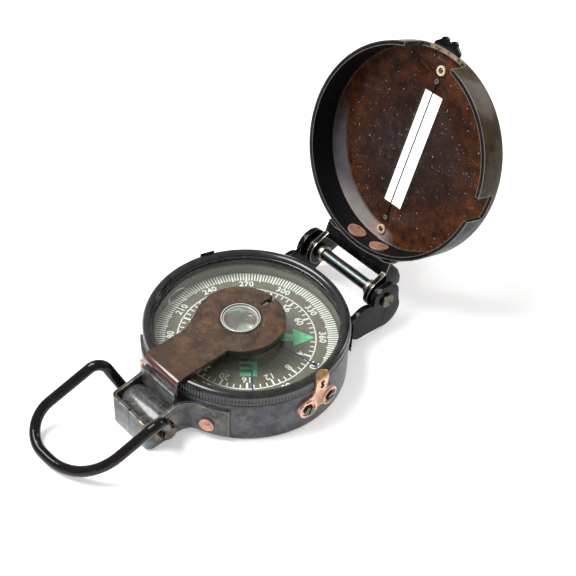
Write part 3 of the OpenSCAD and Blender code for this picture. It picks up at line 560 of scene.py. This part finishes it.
LOOKS = {
    "case": case_look,
    "cover": cover_look,
    "eyepiece": eyepiece_look,
    "bezel": bezel_look,
    "black": lambda: worn_lacquer("black_lacquer", (0.002, 0.002, 0.0022), (0.005, 0.005, 0.006),
                                  (0.40, 0.36, 0.28), wear=0.5, edge=0.3, coat=0.13, specular=0.05,
                                  roughness=(0.12, 0.28), grain=0.06, seed=3),
    "fork": fork_look,
    "frame": frame_look,
    "leaf": lambda: worn_lacquer("leaf_lacquer", (0.026, 0.027, 0.028), (0.085, 0.087, 0.090),
                                 (0.44, 0.41, 0.34), patch=(0.15, 0.148, 0.135), patch_size=0.7,
                                 patch_share=(0.52, 0.68), mottle=2.5, wear=1.0, coat=0.55,
                                 roughness=(0.2, 0.4), grain=0.6, seed=21),
    "ring": lambda: worn_lacquer("ring_black", (0.0022, 0.0020, 0.0020), (0.007, 0.004, 0.0035),
                                 (0.12, 0.05, 0.03), wear=0.1, coat=0.4, specular=0.06,
                                 roughness=(0.1, 0.18), grain=0.04, seed=6),
    "copper": lambda: plain_metal("copper", COPPER, roughness=(0.22, 0.42), stain=(0.16, 0.07, 0.04),
                                  stained=0.8, seed=2),
    "clip": clip_look,
    "lid_copper": lid_rivet_look,
    "brass": lambda: plain_metal("brass", OLD_BRASS, stain=(0.05, 0.035, 0.015), stained=0.7, seed=3),
    "cup_brass": lambda: plain_metal("cup_brass", (0.66, 0.56, 0.36), roughness=(0.3, 0.5), metallic=0.5,
                                     stain=(0.25, 0.18, 0.09), stained=0.7, seed=18),
    "steel": lambda: plain_metal("steel", STEEL, roughness=(0.18, 0.3), stain=(0.12, 0.11, 0.1),
                                 stained=0.5, seed=4),
    "pin": lambda: plain_metal("pin_steel", (0.12, 0.10, 0.07), roughness=(0.25, 0.45),
                               stain=(0.02, 0.016, 0.012), stained=0.9, seed=9),
    "blued": lambda: plain_metal("blued_steel", (0.075, 0.088, 0.088), roughness=(0.22, 0.36),
                                 stain=(0.02, 0.02, 0.018), seed=5),
    "bright": lens_ring_look,
    "washer": lambda: plain_metal("washer_steel", (0.32, 0.29, 0.23), roughness=(0.25, 0.4),
                                  stain=(0.24, 0.14, 0.04), stained=0.9, seed=22),
    "eyelet": lambda: plain_metal("eyelet_steel", (0.16, 0.14, 0.12), roughness=(0.25, 0.4), metallic=0.6,
                                  stain=(0.03, 0.025, 0.02), stained=0.9, grain=0.2, seed=17),
    "screw": lambda: worn_lacquer("screw_black", (0.006, 0.006, 0.006), (0.018, 0.016, 0.014),
                                  (0.4, 0.3, 0.2), wear=0.5, coat=0.9, roughness=(0.12, 0.25), seed=7),
    "wire": lambda: plain_metal("sight_wire", (0.05, 0.03, 0.02), stain=(0.02, 0.012, 0.01), seed=12),
    "rubber": lambda: worn_lacquer("rubber", (0.02, 0.02, 0.02), (0.035, 0.035, 0.035),
                                   (0.05, 0.05, 0.05), wear=0.0, coat=0.0, roughness=(0.7, 0.9), seed=8),
    "card": lambda: worn_lacquer("card_paint", (0.125, 0.112, 0.082), (0.155, 0.140, 0.105),
                                 (0.40, 0.37, 0.30), wear=0.3, edge=0.05, coat=0.0, specular=0.1,
                                 roughness=(0.6, 0.8), dust=0.5, seed=9),
    "hub": hub_look,
    "glass": lambda: clear_glass("clear_glass", tint=(0.99, 1, 0.99), gloss=0.22),
    "wet_glass": lambda: clear_glass("wet_glass", tint=(0.99, 1, 0.985), dusty=0.02, gloss=0.0, seed=2),
    # The lens's pale dust film is laid on thick: partly dust, partly painted light over the shaded card below.
    "lens": lambda: clear_glass("lens_glass", tint=(0.99, 1, 0.97), dusty=0.5, gloss=0.06, seed=3),
    "jewel": lambda: plain_metal("jewel", (0.5, 0.12, 0.10), metallic=0.0, seed=8),
    "bead": lambda: worn_lacquer("bead_black", (0.006, 0.006, 0.007), (0.01, 0.01, 0.012),
                                 (0.3, 0.3, 0.3), wear=0.0, coat=1.0, roughness=(0.05, 0.1), seed=11),
    "white_ink": lambda: worn_lacquer("white_ink", (0.84, 0.86, 0.80), (0.95, 0.97, 0.93),
                                      (0.4, 0.4, 0.34), wear=0.3, mottle=1.0, edge=0.02, coat=0.0,
                                      roughness=(0.6, 0.8), seed=12),
    "green_glow": lambda: worn_lacquer("green_glow", (0.085, 0.54, 0.22), (0.17, 0.74, 0.36),
                                       (0.3, 0.5, 0.3), wear=0.0, mottle=1.5, edge=0.02, coat=0.0,
                                       roughness=(0.6, 0.8), seed=13),
    # Painted highlight: the bubble's bright rim as a white glossy ring.
    "bubble_highlight": lambda: worn_lacquer("bubble_highlight_rim", (0.80, 0.80, 0.74), (0.97, 0.97, 0.92), (0.9, 0.9, 0.85),
                                   wear=0.0, mottle=1.0, edge=0.02, coat=1.0, roughness=(0.1, 0.2),
                                   seed=19),
    "blue_ink": lambda: worn_lacquer("blue_ink", (0.008, 0.008, 0.07), (0.02, 0.02, 0.13),
                                     (0.02, 0.02, 0.1), wear=0.0, mottle=0.8, edge=0.02, coat=0.0,
                                     roughness=(0.5, 0.7), seed=14),
}
_made = {}


def look(name):
    """The named material, made the first time it is asked for."""
    if name not in _made:
        _made[name] = LOOKS[name]().material
    return _made[name]


NODE_LOOKS = {
    "case": ["case_cup"],
    "bezel": ["bezel_ring"],
    "card": ["compass_card"],
    "hub": ["card_hub"],
    "black": ["hinge_bracket", "lid_tab", "bezel_clip_far", "hinge_spacers"],
    "fork": ["lid_fork"],
    "frame": ["eyepiece_frame"],
    "cover": ["lid_cup"],
    "eyepiece": ["eyepiece_plate"],
    "leaf": ["eyepiece_leaf"],
    "ring": ["thumb_ring"],
    "copper": ["bracket_rivets"],
    "clip": ["bezel_clip_near"],
    "lid_copper": ["lid_rivets", "frame_rivets"],
    "wire": ["sight_wire"],
    "brass": ["filler_plug", "pivot_post"],
    "cup_brass": ["dot_cups"],
    "eyelet": ["wire_eyelets"],
    "pin": ["eyepiece_pin", "hinge_screw"],
    "washer": ["hinge_washers"],
    "steel": ["card_magnets", "eyepiece_bush"],
    "blued": ["hinge_tube", "glass_retainer"],
    "bright": ["lens_ring"],
    "screw": ["clip_screws"],
    "rubber": ["filler_seal", "capsule_gasket"],
    "glass": ["bezel_glass"],
    "wet_glass": ["capsule_glass"],
    "lens": ["eyepiece_lens"],
    "jewel": ["pivot_jewel"],
    "bead": ["dot_beads"],
}


CLEAR_NODES = ["bezel_glass", "capsule_glass", "eyepiece_lens"]     # lamps shine through these


def dress_nodes():
    for name, nodes in NODE_LOOKS.items():
        for node in nodes:
            data = frame["nodes"][node].data
            data.materials.clear()
            data.materials.append(look(name))
    for node in CLEAR_NODES:
        frame["nodes"][node].visible_shadow = False


# ---------------------------------------------------------------- pieces made from CAD nodes

BEAD_R = 0.75                    # mm
BEAD_APART = 4                   # points nearer together than this belong to one bead, mm
EDGE_ANGLE = math.radians(28)    # a sharper fold than this is an edge and gets rounded


def body_of(node):
    """The name of the CAD body that a node belongs to."""
    return next(body for body, nodes in frame["record"]["behaviour"]["bodies"].items() if node in nodes)


def stand_for(piece, node):
    """piece rides, and takes its place, as the CAD node did; the node is hidden."""
    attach(piece, body_of(node))
    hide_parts(node)
    return piece


def finish_mesh(name, work, material, sharp=EDGE_ANGLE):
    """An object from a bmesh, smooth except along folds sharper than sharp."""
    for face in work.faces:
        face.smooth = True
    for edge in work.edges:
        edge.smooth = len(edge.link_faces) == 2 and edge.calc_face_angle(0) < sharp
    mesh = bpy.data.meshes.new(name)
    work.to_mesh(mesh)
    work.free()
    mesh.materials.append(material)
    return add(name, mesh)


def rounded(node, width):
    """A copy of a CAD node with its sharp edges rounded, standing for the node."""
    source = frame["nodes"][node]
    work = bmesh.new()
    work.from_mesh(source.data)
    bmesh.ops.remove_doubles(work, verts=work.verts, dist=0.002 * MM)
    bmesh.ops.dissolve_limit(work, angle_limit=math.radians(0.4), verts=work.verts, edges=work.edges)
    folds = [e for e in work.edges if len(e.link_faces) == 2 and e.calc_face_angle(0) > EDGE_ANGLE]
    bmesh.ops.bevel(work, geom=folds, offset=width * MM, offset_type="OFFSET", segments=2,
                    profile=0.6, affect="EDGES", clamp_overlap=True)
    return stand_for(finish_mesh(f"{node}_rounded", work, source.data.materials[0]), node)


ROUND_WIDTHS = {
    "eyepiece_plate": 0.16, "eyepiece_frame": 0.16, "hinge_bracket": 0.22, "lid_fork": 0.22,
    "lid_tab": 0.2, "bezel_clip_near": 0.14, "bezel_clip_far": 0.1, "clip_screws": 0.16,
    "hinge_spacers": 0.25, "hinge_washers": 0.15, "eyepiece_leaf": 0.1, "lens_ring": 0.1,
    "lid_cup": 0.12, "case_cup": 0.12, "hinge_screw": 0.12, "eyepiece_pin": 0.15, "dot_cups": 0.08,
}


def make_beads():
    """A round glass bead in each cup, where the CAD has a short peg."""
    source = frame["nodes"]["dot_beads"].data
    work = bmesh.new()
    work.from_mesh(source)
    groups = []
    for vertex in work.verts:
        near = next((g for g in groups if (g[0] - vertex.co).length < BEAD_APART * MM), None)
        if near:
            near.append(vertex.co.copy())
        else:
            groups.append([vertex.co.copy()])
    work.clear()
    for group in groups:
        centre = sum(group, Vector()) / len(group)
        bmesh.ops.create_uvsphere(work, u_segments=32, v_segments=20, radius=BEAD_R * MM,
                                  matrix=Matrix.Translation(centre))
    stand_for(finish_mesh("glass_beads", work, look("bead")), "dot_beads")


# ---------------------------------------------------------------- the bezel with its knurl

DOME_R = 1.35                    # rounded top of the bezel, mm, as are the next five
WINDOW_R = 24.55
BORE_R = 26.18
KNURL_LOW = 13.6
KNURL_HIGH = 15.8
KNURL_DEPTH = 0.4
KNURL_RIBS = 200
STEPS_PER_RIB = 6


def bezel_section(outer, low, top, glass):
    """The bezel's section as (radius, height) in mm, from its foot round the dome to its bore."""
    middle = (outer - DOME_R, top - DOME_R)
    knurl = [(outer, KNURL_LOW + (KNURL_HIGH - KNURL_LOW) * k / 6) for k in range(7)]
    start = math.degrees(math.asin((KNURL_HIGH - middle[1]) / DOME_R))
    dome = [
        (middle[0] + DOME_R * math.cos(math.radians(a)), middle[1] + DOME_R * math.sin(math.radians(a)))
        for a in [start + (169 - start) * k / 16 for k in range(1, 17)]
    ]
    inside = [(WINDOW_R + 0.08, glass + 0.33), (WINDOW_R, glass + 0.25), (WINDOW_R, glass)]
    return ([(BORE_R, low), (outer - 0.6, low), (outer - 0.1, low + 0.3), (outer, low + 0.45)]
            + knurl + dome + inside + [(BORE_R, glass)])


def make_bezel():
    low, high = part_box("bezel_ring")
    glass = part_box("bezel_glass")[1].z / MM
    section = bezel_section(high.x / MM, low.z / MM, high.z / MM, glass)
    steps = KNURL_RIBS * STEPS_PER_RIB
    work = bmesh.new()
    rings = []
    for step in range(steps):
        angle = 2 * math.pi * step / steps
        valley = 0.5 - 0.5 * math.cos(angle * KNURL_RIBS)
        ring = []
        for radius, height in section:
            knurled = KNURL_LOW < height < KNURL_HIGH and radius > BORE_R + 1
            cut = KNURL_DEPTH * valley if knurled else 0
            ring.append(work.verts.new((
                (radius - cut) * math.cos(angle) * MM, (radius - cut) * math.sin(angle) * MM, height * MM)))
        rings.append(ring)
    count = len(section)
    for step in range(steps):
        here, there = rings[step], rings[(step + 1) % steps]
        for k in range(count):
            after = (k + 1) % count
            work.faces.new((here[k], there[k], there[after], here[after]))
    stand_for(finish_mesh("bezel_knurled", work, look("bezel"), math.radians(50)), "bezel_ring")


# ---------------------------------------------------------------- the card's printing

NORTH = 41.2                     # the card's north, degrees clockwise from +Y
PRINT_T = 0.02                   # thickness of the print
OUTER_R = 24.5                   # outer ends of the degree marks
INNER_R = 18.5                   # circle of the inner scale
LABEL_R = 20.2                   # middle of the degree numbers
INNER_LABEL_R = 15.2             # middle of the inner numbers
OUTER_MARKS = 180                # marks of the degree scale
INNER_MARKS = 64                 # marks of the inner scale
RING_STEPS = 240                 # straight stretches of the inner scale's circle


def on_card(angle):
    """Turns a drawing made with its top towards +Y to point at that bearing of the card."""
    return Matrix.Rotation(math.radians(-NORTH - angle), 4, "Z")


def plate(work, outline, place, low, thick):
    """Adds a thin flat solid with this outline, in mm."""
    bottom = [work.verts.new(place @ Vector((x * MM, y * MM, low))) for x, y in outline]
    top = [work.verts.new(place @ Vector((x * MM, y * MM, low + thick * MM))) for x, y in outline]
    work.faces.new(top)
    work.faces.new(list(reversed(bottom)))
    for k in range(len(outline)):
        after = (k + 1) % len(outline)
        work.faces.new((bottom[k], bottom[after], top[after], top[k]))


def bar(width, inner, outer):
    """Outline of a radial mark."""
    return [(-width / 2, inner), (width / 2, inner), (width / 2, outer), (-width / 2, outer)]


def band(inner, outer):
    """Outline of one of the RING_STEPS straight stretches that make up a thin circle."""
    spread = math.tan(math.pi / RING_STEPS)
    return [(-inner * spread, inner), (inner * spread, inner), (outer * spread, outer),
            (-outer * spread, outer)]


def card_piece(name, work, material):
    bmesh.ops.recalc_face_normals(work, faces=work.faces)
    piece = finish_mesh(name, work, look(material), 0)
    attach(piece, "card")


def make_scales(face):
    work = bmesh.new()
    for mark in range(OUTER_MARKS):
        long = mark % 5 == 0
        plate(work, bar(0.5 if long else 0.42, 21.4 if long else 21.7, OUTER_R),
              on_card(mark * 360 / OUTER_MARKS), face, PRINT_T)
    for mark in range(1, INNER_MARKS):   # the arrow stands in for the first
        long = mark % 4 == 0
        inner = INNER_R - (2.2 if long else 1.45)
        plate(work, bar(0.55 if long else 0.34, inner, INNER_R + 0.05), on_card(mark * 360 / INNER_MARKS),
              face, PRINT_T)
    for step in range(RING_STEPS):
        plate(work, band(INNER_R - 0.16, INNER_R + 0.16), on_card(step * 360 / RING_STEPS), face, PRINT_T)
    card_piece("card_scales", work, "white_ink")


def add_numeral(work, text, height, place):
    """Adds a number in upright thin figures, centred at place."""
    curve = bpy.data.curves.new("numeral", "FONT")
    curve.body = text
    curve.size = height / 0.72 * MM
    curve.align_x = "CENTER"
    curve.align_y = "CENTER"
    curve.extrude = PRINT_T * MM / 2
    curve.resolution_u = 3
    curve.space_character = 1.05
    curve.offset = 0.05 * MM
    obj = add("numeral", curve)
    bpy.context.view_layer.update()
    mesh = obj.to_mesh()
    mesh.transform(place)
    work.from_mesh(mesh)
    obj.to_mesh_clear()
    bpy.data.objects.remove(obj)
    bpy.data.curves.remove(curve)


def make_numerals(face):
    work = bmesh.new()
    middle = face + PRINT_T * MM / 2
    for angle in range(30, 361, 30):
        add_numeral(work, str(angle), 1.9, on_card(angle) @ Matrix.Translation((0, LABEL_R * MM, middle)))
    for number in range(4, INNER_MARKS, 4):
        place = on_card(number * 360 / INNER_MARKS) @ Matrix.Translation((0, INNER_LABEL_R * MM, middle))
        add_numeral(work, str(number), 1.95, place)
    card_piece("card_numerals", work, "white_ink")


def make_marks(face):
    """The luminous north arrow and the E, made of bars."""
    work = bmesh.new()
    arrow = [(-1.35, 4), (1.35, 4), (1.35, 12.4), (3.2, 12.4), (0, 18.2), (-3.2, 12.4), (-1.35, 12.4)]
    plate(work, arrow, on_card(0.5), face, PRINT_T)
    east = on_card(90)
    plate(work, [(-2.6, 8.8), (-1.1, 8.8), (-1.1, 14.0), (-2.6, 14.0)], east, face, PRINT_T)
    for low, high in ((8.8, 9.85), (10.7, 11.75), (12.75, 14.0)):
        plate(work, [(-1.3, low), (1.9, low), (1.9, high), (-1.3, high)], east, face, PRINT_T)
    west = on_card(270)
    for turn, middle in ((24, -1.4), (-24, -0.45), (24, 0.45), (-24, 1.4)):
        place = (west @ Matrix.Translation((middle * MM, 11.4 * MM, 0))
                 @ Matrix.Rotation(math.radians(turn), 4, "Z"))
        plate(work, bar(0.8, -2.4, 2.4), place, face, PRINT_T)
    card_piece("card_glow_marks", work, "green_glow")


BUBBLE_PLACE = (23.0, -104)      # distance from the axis (mm) and degrees clockwise from +Y
BUBBLE_SIZE = (1.2, 8.8)         # half its width (mm) and half its length (degrees)


def make_bubble():
    """A painted highlight: a thin white glossy ring for the bright rim of the small flat air bubble that has
    gathered at the capsule's edge, thicker where it glints.
    """
    work = bmesh.new()
    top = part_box("capsule_glass")[0].z
    steps, sides = 96, 10
    rings = []
    for step in range(steps):
        t = 2 * math.pi * step / steps
        radius = BUBBLE_PLACE[0] + BUBBLE_SIZE[0] * math.sin(t)
        angle = math.radians(BUBBLE_PLACE[1] + BUBBLE_SIZE[1] * math.cos(t))
        outward = Vector((math.sin(angle), math.cos(angle), 0))
        glint = max(math.cos(t - math.radians(55)), math.cos(t - math.radians(165)), 0) ** 6
        thick = 0.05 + 0.18 * glint
        centre = outward * radius * MM + Vector((0, 0, top - 0.2 * MM))
        rings.append([
            work.verts.new(centre + (outward * math.cos(a) + Vector((0, 0, math.sin(a)))) * thick * MM)
            for a in [2 * math.pi * k / sides for k in range(sides)]
        ])
    for step in range(steps):
        here, there = rings[step], rings[(step + 1) % steps]
        for k in range(sides):
            after = (k + 1) % sides
            work.faces.new((here[k], there[k], there[after], here[after]))
    bmesh.ops.recalc_face_normals(work, faces=work.faces)
    piece = finish_mesh("bubble_highlight_rim", work, look("bubble_highlight"), math.pi)
    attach(piece, "case")


def make_ink_lines():
    """Two pen lines drawn on the bezel's glass, one with a blot at its end."""
    work = bmesh.new()
    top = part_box("bezel_glass")[1].z
    random.seed(5)
    for start, end, blot in (((7.6, -5.6), (19.1, -14.9), False), ((12.0, 0.7), (23.6, 3.2), True)):
        a, b = Vector(start), Vector(end)
        side = Vector((-(b - a).y, (b - a).x)).normalized()
        steps = 24
        line = [a.lerp(b, k / steps) + side * random.uniform(-0.05, 0.05) for k in range(steps + 1)]
        left = [p + side * random.uniform(0.13, 0.2) for p in line]
        right = [p - side * random.uniform(0.13, 0.2) for p in line]
        plate(work, [(p.x, p.y) for p in right + left[::-1]], Matrix.Identity(4), top, 0.01)
        if blot:
            for k in range(5):
                spot = b + side * random.uniform(-0.9, 0.9) - (b - a).normalized() * random.uniform(0, 1.4)
                ring = [spot + Vector((math.cos(t), math.sin(t))) * random.uniform(0.25, 0.5)
                        for t in [2 * math.pi * n / 12 for n in range(12)]]
                plate(work, [(p.x, p.y) for p in ring], Matrix.Identity(4), top + 0.003 * (k + 1) * MM, 0.01)
    bmesh.ops.recalc_face_normals(work, faces=work.faces)
    piece = finish_mesh("ink_lines", work, look("blue_ink"), 0)
    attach(piece, "bezel")


make_camera()
make_floor()
make_light()
dress_nodes()
for node, width in ROUND_WIDTHS.items():
    rounded(node, width)
make_beads()
make_bezel()
card_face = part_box("compass_card")[1].z
make_scales(card_face)
make_numerals(card_face)
make_marks(card_face)
make_bubble()
make_ink_lines()
